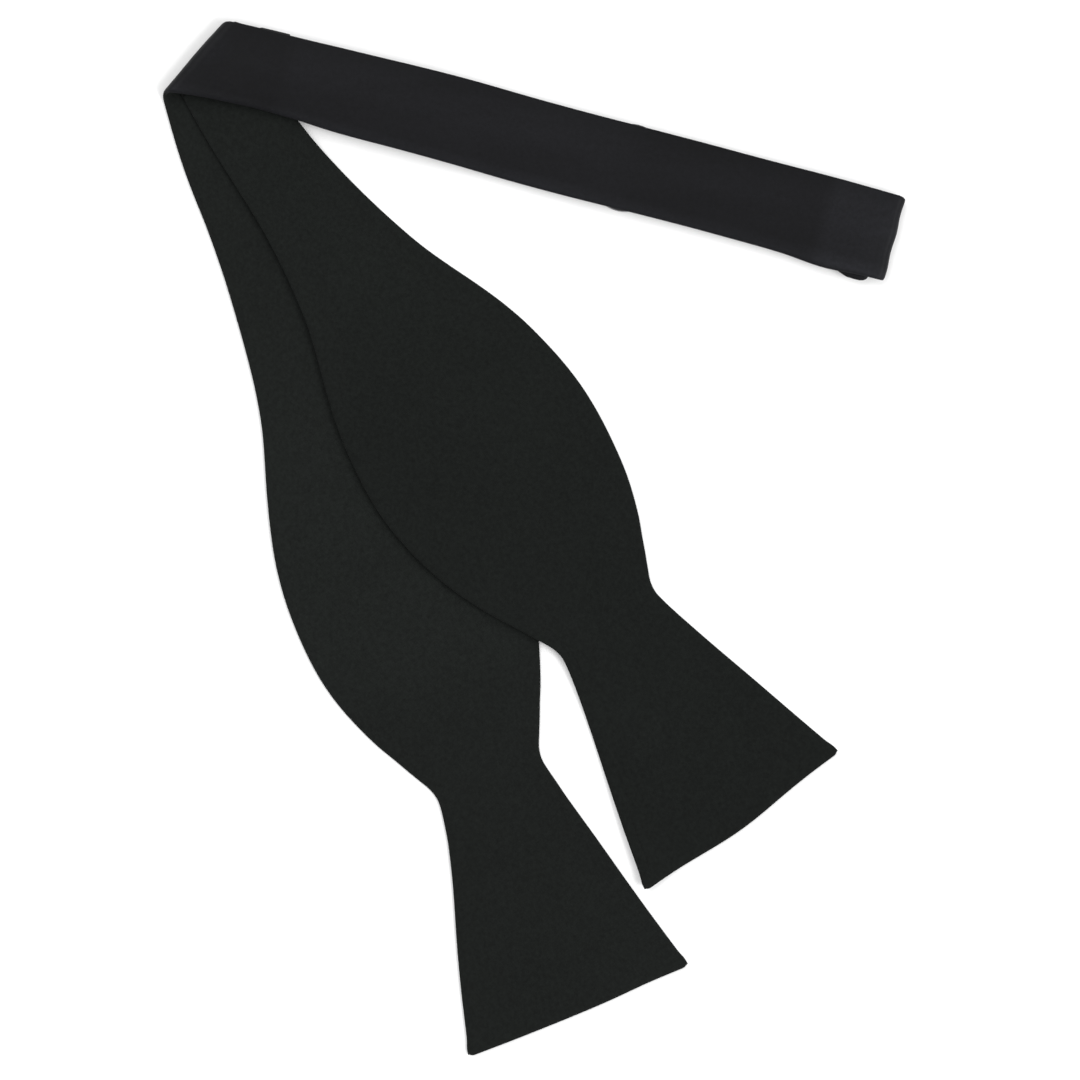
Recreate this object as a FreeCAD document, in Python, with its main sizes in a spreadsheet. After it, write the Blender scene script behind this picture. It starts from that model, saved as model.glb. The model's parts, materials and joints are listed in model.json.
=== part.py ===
import FreeCAD, Part
import math
import os
from FreeCAD import Placement, Rotation, Vector

# Self-tie bow tie, folded flat.  Millimetres, +Z up, resting on z = 0.
# Every piece is drawn in a local frame whose origin is the folded corner of
# the tie, whose X runs along the piece and whose Z is up.

DIMENSIONS = {
    # where the folded corner sits, and which way each run of cloth leaves it
    "corner_x": -85.85, "corner_y": 123.96,
    "rear_heading": -68.6, "front_heading": -54.8,
    "band_heading": -14.8, "fold_heading": 48.8,
    # blades
    "rear_length": 267.2, "front_length": 243.4,
    "flare_half": 31.3, "bulge_half": 31.5, "waist_half": 15.1, "neck_half": 11.2,
    "cloth": 0.3, "interlining": 0.56, "ply_gap": 0.02,
    "seam_turning": 3.0,
    "blade_slab": 90.0,
    # levels of the layers at the corner
    "front_level": 1.35, "stub_level": 2.7, "band_level": 4.05,
    # folded corner
    "fold_out": 1.6, "fold_middle": -0.4, "fold_width": 26.0,
    "wrap_outer": 2.62, "wrap_ply": 1.2, "inner_wrap_outer": 1.28,
    "front_drape_start": 179.0, "front_drape_end": 212.0,
    "tab_radius": 15.0, "tab_gap": 0.25,
    # neckband, lying over the blades and then on the table
    "band_width": 22.5, "band_shift": 2.25,
    "ramp_start": 54.0, "ramp_end": 87.0,
    "band_low": 3.2, "band_end": 186.5, "end_fold_outer": 1.95, "end_fold_ply": 0.8,
    "tail_low": 0.25, "tail_ply": 0.7, "tail_width": 19.6, "turnback_end": 182.5,
    # the other half's end and its adjusting strap
    "stub_end": 20.0, "stub_ply": 1.1,
    "strap_width": 19.0, "strap_ply": 0.7, "strap_level": 2.9, "strap_low": 0.75,
    "return_ply": 0.5, "return_low": 2.6, "return_gap": 0.25,
    # three-bar slide
    "slide_at": 114.0, "slide_length": 8.6, "slide_width": 23.3, "slide_bow": 1.1, "slide_height": 2.5,
    "slide_bar": 1.4, "slide_low": 0.05, "slide_rail": 1.6,
    "middle_bar": 1.5, "middle_bar_low": 2.1, "middle_bar_ply": 0.45,
    "wrap_reach": 8.0,
    # hook and eye
    "hook_bar_at": 154.0, "hook_level": 1.55, "hook_ply": 0.75, "hook_width": 22.4,
    "hook_body": 4.2, "tongue_width": 7.0,
    "eye_at": 164.0, "eye_back": 172.0, "eye_wire": 0.9, "eye_level": 1.6, "eye_width": 22.6,
    # small sewn items
    "label_at": 89.0, "label_length": 8.0, "label_width": 13.0, "label_ply": 0.3,
    "tack_ply": 0.12,
}
D = DIMENSIONS

# (distance from the flare end, half width) along the curved side of each blade
FRONT_SIDE = (
    (54.6, 16.4), (58.5, 15.6), (62.2, D["waist_half"]), (65.5, 15.9), (75.0, 20.5),
    (86.0, 25.3), (101.0, 29.6), (118.0, D["bulge_half"]), (133.0, 30.25),
    (148.0, 26.9), (164.0, 21.2), (180.0, 16.5), (200.0, 13.0), (222.0, D["neck_half"]),
)
REAR_SIDE = (
    (54.6, 16.4), (59.5, 15.2), (63.8, D["waist_half"] - 0.4), (67.5, 15.6), (76.0, 19.7),
    (87.0, 24.6), (101.0, 29.2),
) + FRONT_SIDE[7:]
# (distance from the flare end, sideways lie) of each blade's centre line
REAR_LIE = ((0, 0.05), (25, 0.3), (45, 0.9), (62, 0.7), (72, 0.0), (86, -0.9), (101, -1.35),
            (118, -1.2), (133, -1.9), (148, -2.3), (164, -3.2), (180, -3.7), (200, -4.6),
            (245, -4.6), (256, -3.6), (268, -2.2))
FRONT_LIE = ((0, 0.3), (35, 0.95), (55, 1.35), (75, 1.35), (86, 1.1), (101, 0.6), (118, 0.4),
             (150, 0.5), (180, 0.25), (200, -0.15), (212, -0.5), (225, -0.4), (245, 0.0))

doc = FreeCAD.newDocument("bow_tie")
sheet = doc.addObject("Spreadsheet::Sheet", "dims")
for row, (alias, value) in enumerate(D.items(), start=1):
    sheet.set("A%d" % row, alias)
    sheet.set("B%d" % row, "%g" % value)
    sheet.setAlias("B%d" % row, alias)
doc.recompute()

exports = []


# ---------------------------------------------------------------- drawing aids
def plane(body, role):
    return next(f for f in body.Origin.OriginFeatures if f.Role == role)


def new_body(label, heading=None, lift=0.0):
    body = doc.addObject("PartDesign::Body", label)
    body.Label = label
    if heading is not None:
        turn = Rotation(Vector(0, 0, 1), D[heading])
        body.Placement = Placement(Vector(D["corner_x"], D["corner_y"], lift), turn)
        body.setExpression("Placement.Base.x", "dims.corner_x")
        body.setExpression("Placement.Base.y", "dims.corner_y")
    exports.append(body)
    return body


def sketch(body, role, edges):
    drawing = body.newObject("Sketcher::SketchObject", body.Label + "_sketch")
    drawing.AttachmentSupport = [(plane(body, role), "")]
    drawing.MapMode = "FlatFace"
    for edge in edges:
        drawing.addGeometry(edge, False)
    return drawing


def pad(body, drawing, length, symmetric=False):
    feature = body.newObject("PartDesign::Pad", body.Label + "_pad")
    feature.Profile = drawing
    feature.SideType = "Symmetric" if symmetric else "One side"
    feature.setExpression("Length", length)
    drawing.Visibility = False
    return feature


def trim(body, drawing):
    feature = body.newObject("PartDesign::Pocket", body.Label + "_trim")
    feature.Profile = drawing
    feature.SideType = "Symmetric"
    feature.Type = "ThroughAll"
    drawing.Visibility = False
    return feature


def lines(points):
    points = [Vector(p[0], p[1], 0) for p in points]
    return [Part.LineSegment(a, b) for a, b in zip(points, points[1:] + points[:1])]


def rectangle(x0, y0, x1, y1):
    return lines([(x0, y0), (x1, y0), (x1, y1), (x0, y1)])


def half_ring(x, z, inner, outer, side):
    """Half annulus about (x, z), bulging toward +x (side 1) or -x (side -1)."""
    def arc(radius):
        return Part.Arc(Vector(x, z - radius, 0), Vector(x + side * radius, z, 0),
                        Vector(x, z + radius, 0))
    ends = [Part.LineSegment(Vector(x, z + s * inner, 0), Vector(x, z + s * outer, 0))
            for s in (-1, 1)]
    return [arc(inner), arc(outer)] + ends


# ---------------------------------------------------------------- outlines
def interpolate(table, u):
    for (u0, v0), (u1, v1) in zip(table, table[1:]):
        if u <= u1:
            s = (u - u0) / (u1 - u0)
            return v0 + (v1 - v0) * s
    return table[-1][1]


def fold_point(heading, y):
    """Where the corner fold line crosses height y of a local frame."""
    phi = math.radians(D["fold_heading"] - D[heading])
    t = (y - D["fold_out"] * math.cos(phi)) / math.sin(phi)
    return Vector(-D["fold_out"] * math.sin(phi) + t * math.cos(phi), y, 0)


def blade_side(length, sides, lie, sign, inset, finish):
    """Flare corner to neck: a straight run, then one smooth curve ending at finish."""
    def at(u, half):
        return Vector(length - u, interpolate(lie, u) + sign * (half - inset), 0)
    flare = at(inset, D["flare_half"])
    curve = Part.BSplineCurve()
    curve.interpolate([at(u, half) for u, half in sides] + [finish])
    return flare, [Part.LineSegment(flare, at(*sides[0])), curve]


def blade_outline(heading, length, sides, lie, inset, from_fold):
    edges, flares, necks = [], [], []
    for sign in (1, -1):
        if from_fold:
            neck = fold_point(heading, interpolate(lie, length) + sign * (D["neck_half"] - inset))
        else:
            radius, y = D["tab_radius"] + D["tab_gap"], sign * (D["neck_half"] - inset)
            neck = Vector(math.sqrt(radius ** 2 - y ** 2), y, 0)
        flare, side = blade_side(length, sides, lie, sign, inset, neck)
        edges += side
        flares.append(flare)
        necks.append(neck)
    edges.append(Part.LineSegment(*flares))
    if from_fold:
        edges.append(Part.LineSegment(*necks))
    else:
        edges.append(Part.Arc(necks[0], Vector(D["tab_radius"] + D["tab_gap"], 0, 0), necks[1]))
    return edges


def slab(label, heading, path, ply, width):
    """A sheet whose side view follows path (x, z of its underside), ply thick."""
    body = new_body(label, heading)
    top = [(x, z + ply) for x, z in reversed(path)]
    pad(body, sketch(body, "XZ_Plane", lines(list(path) + top)), width, symmetric=True)
    return body


def raised(path, lift):
    return [(x, z + lift) for x, z in path]


# ---------------------------------------------------------------- the blades
def blade(name, heading, length_name, sides, lie, path, from_fold):
    length, reach = D[length_name], 60.0
    frame = rectangle(-reach, -reach, length + 20, reach)
    levels = (0.0, D["cloth"] + D["ply_gap"], D["cloth"] + D["interlining"] + 2 * D["ply_gap"])
    inset = D["seam_turning"] + 0.1
    for piece, level, ply in (("back", levels[0], D["cloth"]), ("face", levels[2], D["cloth"])):
        body = slab(name + "_" + piece, heading, raised(path, level), ply, "dims.blade_slab")
        outline = blade_outline(heading, length, sides, lie, 0.0, from_fold)
        trim(body, sketch(body, "XY_Plane", frame + outline))
    middle = raised(path, levels[1])
    lining = slab(name + "_interlining", heading, middle, D["interlining"], "dims.blade_slab")
    inner = blade_outline(heading, length, sides, lie, inset, from_fold)
    trim(lining, sketch(lining, "XY_Plane", frame + inner))
    seam = slab(name + "_edge_seam", heading, middle, D["interlining"], "dims.blade_slab")
    outline = blade_outline(heading, length, sides, lie, 0.1, from_fold)
    trim(seam, sketch(seam, "XY_Plane", frame + outline))
    hole = blade_outline(heading, length, sides, lie, D["seam_turning"], from_fold)
    trim(seam, sketch(seam, "XY_Plane", hole))


blade("rear_blade", "rear_heading", "rear_length", REAR_SIDE, REAR_LIE,
      [(-15, 0.0), (D["rear_length"] + 5, 0.0)], True)
front_path = [(-15, D["front_level"]), (D["front_drape_start"], D["front_level"]),
              (D["front_drape_end"], 0.0), (D["front_length"] + 5, 0.0)]
blade("front_blade", "front_heading", "front_length", FRONT_SIDE, FRONT_LIE, front_path, False)

# the front half's neck between its blade and the folded corner
tab = new_body("front_neck_tab", "front_heading")
corners = [fold_point("front_heading", s * (D["neck_half"] - 0.1)) for s in (1, -1)]
shoulder = math.sqrt(D["tab_radius"] ** 2 - D["neck_half"] ** 2)
shoulders = [Vector(shoulder, s * D["neck_half"], 0) for s in (1, -1)]
tab_edges = [Part.LineSegment(*corners)]
tab_edges += [Part.LineSegment(a, b) for a, b in zip(corners, shoulders)]
tab_edges.append(Part.Arc(shoulders[0], Vector(D["tab_radius"], 0, 0), shoulders[1]))
pad(tab, sketch(tab, "XY_Plane", tab_edges), "dims.wrap_ply")
tab.setExpression("Placement.Base.z", "dims.front_level")


# ---------------------------------------------------------------- folded corner
def corner_wrap(label, outer, width_cut):
    """Cloth going round the diagonal fold, extruded along the fold line."""
    body = new_body(label)
    drawing = sketch(body, "XZ_Plane", half_ring(0, 0, outer - D["wrap_ply"], outer, -1))
    pad(body, drawing, "dims.fold_width - %g" % width_cut, symmetric=True)
    along = math.radians(D["fold_heading"])
    step = Vector(math.cos(along), math.sin(along), 0)
    out = Vector(-step.y, step.x, 0)
    base = Vector(D["corner_x"], D["corner_y"], D["wrap_outer"])
    body.Placement = Placement(base + step * D["fold_middle"] + out * D["fold_out"],
                               Rotation(Vector(0, 0, 1), D["fold_heading"] - 90))
    return body


corner_wrap("rear_corner_fold", D["wrap_outer"], 0.0)
corner_wrap("front_corner_fold", D["inner_wrap_outer"], 0.8)


# ---------------------------------------------------------------- neckband
def strip(label, level, low, ply, start, end, width, inset=0.0):
    """A straight run of the neckband between two stations along it."""
    first = -20.0 if start is None else start
    knees = [x for x in (D["ramp_start"], D["ramp_end"]) if first < x < end]
    path = [(x, interpolate(((-20, level), (D["ramp_start"], level), (D["ramp_end"], low),
                             (200, low)), x)) for x in [first] + knees + [end]]
    body = slab(label, "band_heading", path, ply, width)
    if start is None:
        half = 0.5 * D["band_width"] - inset
        ends = [fold_point("band_heading", D["band_shift"] + s * half) for s in (1, -1)]
        edges = lines([ends[0], ends[1], (end + 1, D["band_shift"] - half),
                       (end + 1, D["band_shift"] + half)])
        trim(body, sketch(body, "XY_Plane", rectangle(-60, -60, end + 60, 60) + edges))
    else:
        shift_sideways(body)
    return body


def shift_sideways(body):
    across = Rotation(Vector(0, 0, 1), D["band_heading"]).multVec(Vector(0, D["band_shift"], 0))
    body.setExpression("Placement.Base.x", "dims.corner_x + %g" % across.x)
    body.setExpression("Placement.Base.y", "dims.corner_y + %g" % across.y)


band_flat_end = D["band_end"] - D["end_fold_outer"]
ply = D["cloth"]
levels = (0.0, ply + D["ply_gap"], D["wrap_ply"] - ply)
low_levels = (0.0, ply + D["ply_gap"], 1.0 - ply)
strip("neckband_face", D["band_level"], D["band_low"], ply, None, band_flat_end,
      "dims.blade_slab")
strip("neckband_interlining", D["band_level"] + levels[1], D["band_low"] + low_levels[1],
      low_levels[2] - low_levels[1] - D["ply_gap"], None, band_flat_end, "dims.blade_slab", 1.2)
strip("neckband_back", D["band_level"] + low_levels[2], D["band_low"] + low_levels[2], ply,
      None, band_flat_end, "dims.blade_slab")

band_top = D["band_low"] + 1.0
end_fold = new_body("neckband_end_fold", "band_heading")
fold_middle = band_top - D["end_fold_outer"]
inner_radius = D["end_fold_outer"] - D["end_fold_ply"]
pad(end_fold, sketch(end_fold, "XZ_Plane", half_ring(
    band_flat_end, fold_middle, inner_radius, D["end_fold_outer"], 1)),
    "dims.band_width - 0.4", symmetric=True)
shift_sideways(end_fold)

loop_outer = 0.5 * D["eye_wire"] + 0.2 + D["tail_ply"]
strip("neckband_tail", 0, D["tail_low"], D["tail_ply"], D["eye_back"], band_flat_end,
      "dims.tail_width")
turnback = new_body("tail_turnback", "band_heading")
loop = half_ring(D["eye_back"], D["eye_level"], loop_outer - D["tail_ply"], loop_outer, -1)
strand_low = D["eye_level"] + loop_outer - D["tail_ply"]
strand = [(D["eye_back"], strand_low), (D["turnback_end"], strand_low),
          (D["turnback_end"], strand_low + D["tail_ply"]),
          (D["eye_back"], strand_low + D["tail_ply"])]
# the loop and the strand share the short edge at the eye, so it is left undrawn
pad(turnback, sketch(turnback, "XZ_Plane", loop[:3] + lines(strand)[:3]),
    "dims.tail_width", symmetric=True)
shift_sideways(turnback)


def block(label, x0, z0, x1, z1, width):
    body = new_body(label, "band_heading")
    pad(body, sketch(body, "XZ_Plane", rectangle(x0, z0, x1, z1)), width, symmetric=True)
    shift_sideways(body)
    return body


tail_top = D["tail_low"] + D["tail_ply"]
block("tail_bar_tack", 176.0, tail_top, 177.6, strand_low, "dims.tail_width - 4")

# the other half's end, tucked under the band, and the strap sewn into it
strip("front_half_end", D["stub_level"], 0, D["stub_ply"], None, D["stub_end"],
      "dims.blade_slab", 0.1)
block("strap_join_stitches", 17.6, D["stub_level"] + D["stub_ply"], 18.8,
      D["stub_level"] + D["stub_ply"] + D["tack_ply"], "dims.strap_width - 1")
strip("adjuster_strap", D["strap_level"], D["strap_low"], D["strap_ply"],
      D["stub_end"] + 1.1, D["hook_bar_at"], "dims.strap_width")

loop_top = D["return_low"] + D["return_ply"]
strap_loop = new_body("strap_loop", "band_heading")
loop_radius = 0.5 * (loop_top - D["strap_low"])
loop_level = D["strap_low"] + loop_radius
pad(strap_loop, sketch(strap_loop, "XZ_Plane", half_ring(
    D["hook_bar_at"], loop_level, loop_radius - 0.6, loop_radius, 1)),
    "dims.strap_width", symmetric=True)
shift_sideways(strap_loop)
wrap_end = D["slide_at"] + 0.5 * D["middle_bar"] + D["return_gap"]
block("strap_return", wrap_end, D["return_low"], D["hook_bar_at"], loop_top, "dims.strap_width")
strap_top = D["strap_low"] + D["strap_ply"]
block("size_label", D["label_at"], strap_top, D["label_at"] + D["label_length"],
      strap_top + D["label_ply"], "dims.label_width")

# ---------------------------------------------------------------- three-bar slide
slide = new_body("adjuster_slide", "band_heading")
half_length = 0.5 * D["slide_length"]
x0, x1 = D["slide_at"] - half_length, D["slide_at"] + half_length
rail = 0.5 * D["slide_width"] - D["slide_rail"]
shoulder = 0.5 * D["slide_width"] - D["slide_bow"]
# straight end bars, and side rails bowed gently outward
frame = [Part.LineSegment(Vector(x, -shoulder, 0), Vector(x, shoulder, 0)) for x in (x0, x1)]
frame += [Part.Arc(Vector(x0, s * shoulder, 0), Vector(D["slide_at"], s * 0.5 * D["slide_width"], 0),
                   Vector(x1, s * shoulder, 0)) for s in (1, -1)]
drawing = sketch(slide, "XY_Plane",
                 frame + rectangle(x0 + D["slide_bar"], -rail, x1 - D["slide_bar"], rail))
pad(slide, drawing, "dims.slide_height")
slide.setExpression("Placement.Base.z", "dims.slide_low")
shift_sideways(slide)
# the strap's way through: over the two end bars, under the middle one
channel = sketch(slide, "XZ_Plane", rectangle(x0 - 1, 0.6, x1 + 1, 4))
cut = slide.newObject("PartDesign::Pocket", "slide_channel")
cut.Profile = channel
cut.SideType = "Symmetric"
cut.setExpression("Length", "dims.slide_width - 2 * dims.slide_rail")
half_bar = 0.5 * D["middle_bar"]
bar_low = D["middle_bar_low"] - D["slide_low"]
bar = sketch(slide, "XZ_Plane", rectangle(D["slide_at"] - half_bar, bar_low,
                                          D["slide_at"] + half_bar,
                                          bar_low + D["middle_bar_ply"]))
pad(slide, bar, "dims.slide_width - dims.slide_rail", symmetric=True)

# the strap's end, taken round the middle bar and sewn back on itself
wrap = new_body("strap_end_wrap", "band_heading")
bar_left = D["slide_at"] - half_bar - 0.1
under = D["middle_bar_low"] - 0.05
end = D["slide_at"] + D["wrap_reach"]
left = bar_left - 0.45
pad(wrap, sketch(wrap, "XZ_Plane", lines([
    (left, under - 0.5), (end, under - 0.5), (end, under), (bar_left, under),
    (bar_left, D["return_low"]), (wrap_end - 0.2, D["return_low"]), (wrap_end - 0.2, loop_top),
    (left, loop_top)])), "dims.strap_width", symmetric=True)
shift_sideways(wrap)
block("slide_bar_tack", D["slide_at"] + 5.0, under, D["slide_at"] + 6.2,
      D["return_low"] - 0.02, "dims.strap_width - 4")

# ---------------------------------------------------------------- hook and eye
hook = new_body("hook", "band_heading")
hx, half_wire = D["hook_bar_at"], 0.45
mouth = 0.5 * D["strap_width"] + 0.4
frame = rectangle(hx - half_wire, -0.5 * D["hook_width"], hx + D["hook_body"],
                  0.5 * D["hook_width"])
pad(hook, sketch(hook, "XY_Plane", frame + rectangle(hx + half_wire, -mouth, hx + 2.6, mouth)),
    "dims.hook_ply")
hook.setExpression("Placement.Base.z", "dims.hook_level")
shift_sideways(hook)
base, ply, tip = -D["hook_level"], D["hook_ply"], D["eye_at"] + 1.9
tongue = [(hx + 3.4, 0.0), (hx + 5.0, base + 0.3), (tip, base + 0.3), (tip, base + 2.9),
          (tip - 3.3, base + 2.9), (tip - 3.3, base + 2.35), (tip - 0.7, base + 2.35),
          (tip - 0.7, base + 0.9), (hx + 5.5, base + 0.9), (hx + 4.2, ply), (hx + 3.4, ply)]
pad(hook, sketch(hook, "XZ_Plane", lines(tongue)), "dims.tongue_width", symmetric=True)

eye = new_body("eye_ring", "band_heading")
wire = 0.5 * D["eye_wire"]
outer_half = 0.5 * D["eye_width"]
pad(eye, sketch(eye, "XY_Plane",
                rectangle(D["eye_at"] - wire, -outer_half, D["eye_back"] + wire, outer_half)
                + rectangle(D["eye_at"] + wire, -outer_half + 1.0,
                            D["eye_back"] - wire, outer_half - 1.0)), "dims.eye_wire")
eye.setExpression("Placement.Base.z", "dims.eye_level - 0.5 * dims.eye_wire")
shift_sideways(eye)

# ---------------------------------------------------------------- check and export
doc.recompute()
for item in doc.Objects:
    if "Invalid" in item.State or "Error" in item.State:
        raise RuntimeError("%s did not compute: %s" % (item.Label, item.State))
os.makedirs("parts", exist_ok=True)
whole = FreeCAD.BoundBox()
for body in exports:
    shape = body.Shape
    if shape.isNull() or not shape.isValid() or len(shape.Solids) != 1:
        raise RuntimeError("%s is not one valid solid" % body.Label)
    shape.exportStep("parts/%s.step" % body.Label)
    whole.add(shape.BoundBox)
print("%d pieces, %s" % (len(exports), whole))
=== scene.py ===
import json
import math

import bmesh
import bpy
import numpy as np
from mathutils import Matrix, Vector


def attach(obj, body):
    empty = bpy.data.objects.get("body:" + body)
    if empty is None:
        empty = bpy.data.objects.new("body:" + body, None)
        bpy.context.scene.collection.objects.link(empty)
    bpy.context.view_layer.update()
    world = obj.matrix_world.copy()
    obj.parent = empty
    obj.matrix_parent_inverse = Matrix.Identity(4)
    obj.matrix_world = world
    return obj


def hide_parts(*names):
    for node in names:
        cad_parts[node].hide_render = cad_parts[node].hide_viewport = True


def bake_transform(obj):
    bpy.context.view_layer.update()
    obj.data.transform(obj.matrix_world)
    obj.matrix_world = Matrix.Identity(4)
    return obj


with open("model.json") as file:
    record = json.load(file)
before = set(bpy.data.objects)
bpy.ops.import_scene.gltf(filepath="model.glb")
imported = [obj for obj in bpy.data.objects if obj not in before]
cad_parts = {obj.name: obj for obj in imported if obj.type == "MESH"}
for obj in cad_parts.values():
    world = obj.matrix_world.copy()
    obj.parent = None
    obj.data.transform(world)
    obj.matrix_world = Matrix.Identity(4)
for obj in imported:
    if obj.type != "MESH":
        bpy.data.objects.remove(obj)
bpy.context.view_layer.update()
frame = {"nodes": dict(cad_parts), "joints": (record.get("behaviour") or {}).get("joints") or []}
joints = {j["name"]: j for j in frame["joints"]}

# Everything below is worked out in millimetres, in the CAD's frame.  CORNER is the
# folded corner of the tie, and plan directions are unit vectors in x and y.
MM = 0.001
CORNER = np.array(joints["front_blade_fan"]["pos_m"][:2]) / MM
BAND = np.array(joints["size_slide"]["axis"][:2])
BAND_SIDE = np.array([-BAND[1], BAND[0]])
FOLD = -np.array(joints["neckband_unfold"]["axis"][:2])
FOLD_OUT = np.array([-FOLD[1], FOLD[0]])
FOLD_SHIFT = 1.6
FOLD_ORIGIN = CORNER + FOLD_SHIFT * FOLD_OUT
BAND_SHIFT = 2.25
REAR_HEADING, FRONT_HEADING = -68.6, -54.8
# places along the band, measured from the corner
LABEL_AT, LABEL_END, SLIDE_AT = 89.0, 97.0, 114.0
HOOK_AT, EYE_AT, EYE_BACK, END_FOLD_AT = 154.0, 164.0, 172.0, 184.55
# thickness of one cloth, and the radius its outer edge is rounded to
PLY, EDGE_RADIUS = 0.22, 0.95
# half the thickness of a folded strip; the front half is a little less on its back
FACE_HALF, BACK_HALF = 0.6, 0.58
SEAM_MARGIN, LINING_HALF = 3.4, 0.2


def heading(degrees):
    a = math.radians(degrees)
    return np.array([math.cos(a), math.sin(a)])


def smooth(x, a, b):
    """Ease from 0 at a to 1 at b."""
    t = np.clip((np.asarray(x, float) - a) / (b - a), 0, 1)
    return t * t * (3 - 2 * t)


def bump(x, middle, width):
    """Bell of height 1 about middle."""
    return np.exp(-(((np.asarray(x, float) - middle) / width) ** 2))


def catmull(table, x):
    """Smooth curve through a short table of (x, value)."""
    xs, ys = np.array(table, float).T
    slopes = np.gradient(ys, xs)
    x = np.clip(np.asarray(x, float), xs[0], xs[-1])
    i = np.clip(np.searchsorted(xs, x, side="right") - 1, 0, len(xs) - 2)
    h = xs[i + 1] - xs[i]
    t = (x - xs[i]) / h
    return ((2 * t**3 - 3 * t**2 + 1) * ys[i] + (t**3 - 2 * t**2 + t) * h * slopes[i]
            + (-2 * t**3 + 3 * t**2) * ys[i + 1] + (t**3 - t**2) * h * slopes[i + 1])


def waves(x, y, seed, size):
    """Slow uneven cloth surface, about -1 to 1, repeatable."""
    rng = np.random.default_rng(seed)
    total = np.zeros(np.broadcast(x, y).shape)
    for octave in range(3):
        for _ in range(5):
            angle = rng.uniform(0, 2 * math.pi)
            k = 2 * math.pi / (size / 1.7**octave * rng.uniform(0.7, 1.4))
            total += (np.sin(k * (x * math.cos(angle) + y * math.sin(angle))
                             + rng.uniform(0, 2 * math.pi)) / 1.9**octave)
    return total / 4.5


# ---------------------------------------------------------------- cut shapes
# (distance from the flare end, half width) of a blade
BLADE_HALF = [(0, 31.3), (25, 24.5), (50, 17.6), (55, 16.35), (59, 15.5), (62, 15.1),
              (65, 15.6), (68, 16.95), (72, 18.9), (76, 20.8), (80, 22.8), (86, 25.3),
              (92, 27.4), (100, 29.4), (110, 31.0), (118, 31.5), (126, 31.15), (133, 30.25),
              (140, 29.0), (148, 26.9), (156, 24.2), (164, 21.2), (172, 18.5), (180, 16.5),
              (190, 14.5), (200, 13.0), (212, 11.9), (225, 11.4), (245, 11.2)]


class Blade:
    """Plan shape of one blade; u runs from the flare end, v from -1 to 1 across it."""

    def __init__(self, length, degrees, lie):
        self.length, self.direction, self.lie = length, heading(degrees), lie

    def half(self, u):
        return catmull(BLADE_HALF, u)

    def end_bow(self, v):
        """How far the flare end bulges past its corners."""
        return 0.8 - 0.2 * v + 1.65 * bump(v, -0.05, 0.52)

    def plan(self, u, v):
        beak = self.end_bow(v) - 0.6 * smooth(np.abs(v), 0.955, 1.0)
        along = self.length - u + beak * (1 - smooth(u, 0, 18))
        across = catmull(self.lie, u) + v * self.half(u) + 0.25 * v * bump(u, 1.6, 1.6)
        side = np.array([-self.direction[1], self.direction[0]])
        return CORNER + along[..., None] * self.direction + across[..., None] * side


class RearBlade(Blade):
    """The rear blade's waist sits a little higher and it is pulled in more there."""

    def half(self, u):
        late = 3.0 * smooth(u, 52, 66) * (1 - smooth(u, 90, 120))
        return catmull(BLADE_HALF, u - late) - 0.35 * bump(u, 63, 5)

    def end_bow(self, v):
        return 0.9 - 0.6 * v + 0.55 * (1 - v**2) - 0.35 * bump(v, 0.65, 0.3)


REAR = RearBlade(267.2, REAR_HEADING, [
    (0, 0.05), (25, 0.3), (45, 0.9), (60, 0.75), (72, 0), (86, -0.9), (100, -1.35),
    (118, -1.2), (133, -1.9), (148, -2.3), (164, -3.2), (180, -3.7), (200, -4.6),
    (225, -4.6), (245, -4.6), (256, -3.6), (268, -2.2)])
FRONT = Blade(243.4, FRONT_HEADING, [
    (0, 0.3), (15, 0.5), (35, 0.95), (55, 1.35), (72, 1.4), (86, 1.1), (100, 0.6),
    (118, 0.4), (150, 0.5), (180, 0.25), (200, -0.15), (212, -0.5), (225, -0.4), (245, 0)])

# (distance along the band, value): half width and sideways lie of the neckband
BAND_HALF = [(0, 10.2), (14, 10.4), (26, 10.6), (33, 10.9), (55, 11.25), (150, 11.3),
             (172, 11.45), (186, 11.4), (230, 11.4)]
BAND_LIE = [(0, 2.2), (14, 2.5), (26, 2.5), (35, 2.4), (55, 2.55), (70, 2.5), (85, 2.25),
            (140, 2.3), (165, 2.2), (186, 1.85), (230, 1.85)]


def band_plan(x, v, half, shift):
    """Plan points of the band at station x and at share v of its half width."""
    return CORNER + np.asarray(x)[..., None] * BAND + (shift + v * half)[..., None] * BAND_SIDE


def outline_distance(points, outline):
    """Distance of each 2-D point from a polyline."""
    flat = points.reshape(-1, 2)
    best = np.full(len(flat), 1e9)
    for a, b in zip(outline[:-1], outline[1:]):
        ab = b - a
        t = np.clip(((flat - a) @ ab) / max(ab @ ab, 1e-12), 0, 1)
        gap = flat - a - t[:, None] * ab
        best = np.minimum(best, np.einsum("ij,ij->i", gap, gap))
    return np.sqrt(best).reshape(points.shape[:-1])


# ---------------------------------------------------------------- meshes
def new_object(name, verts, faces, smooth_shade=True):
    mesh = bpy.data.meshes.new(name)
    mesh.from_pydata([tuple(p) for p in np.asarray(verts) * MM], [], faces)
    mesh.update()
    if smooth_shade:
        mesh.polygons.foreach_set("use_smooth", [True] * len(mesh.polygons))
    obj = bpy.data.objects.new(name, mesh)
    bpy.context.scene.collection.objects.link(obj)
    return obj


def grid_faces(rows, cols, offset, flip):
    faces = []
    for i in range(rows - 1):
        for j in range(cols - 1):
            a = offset + i * cols + j
            quad = (a, a + 1, a + cols + 1, a + cols)
            faces.append(quad[::-1] if flip else quad)
    return faces


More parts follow.
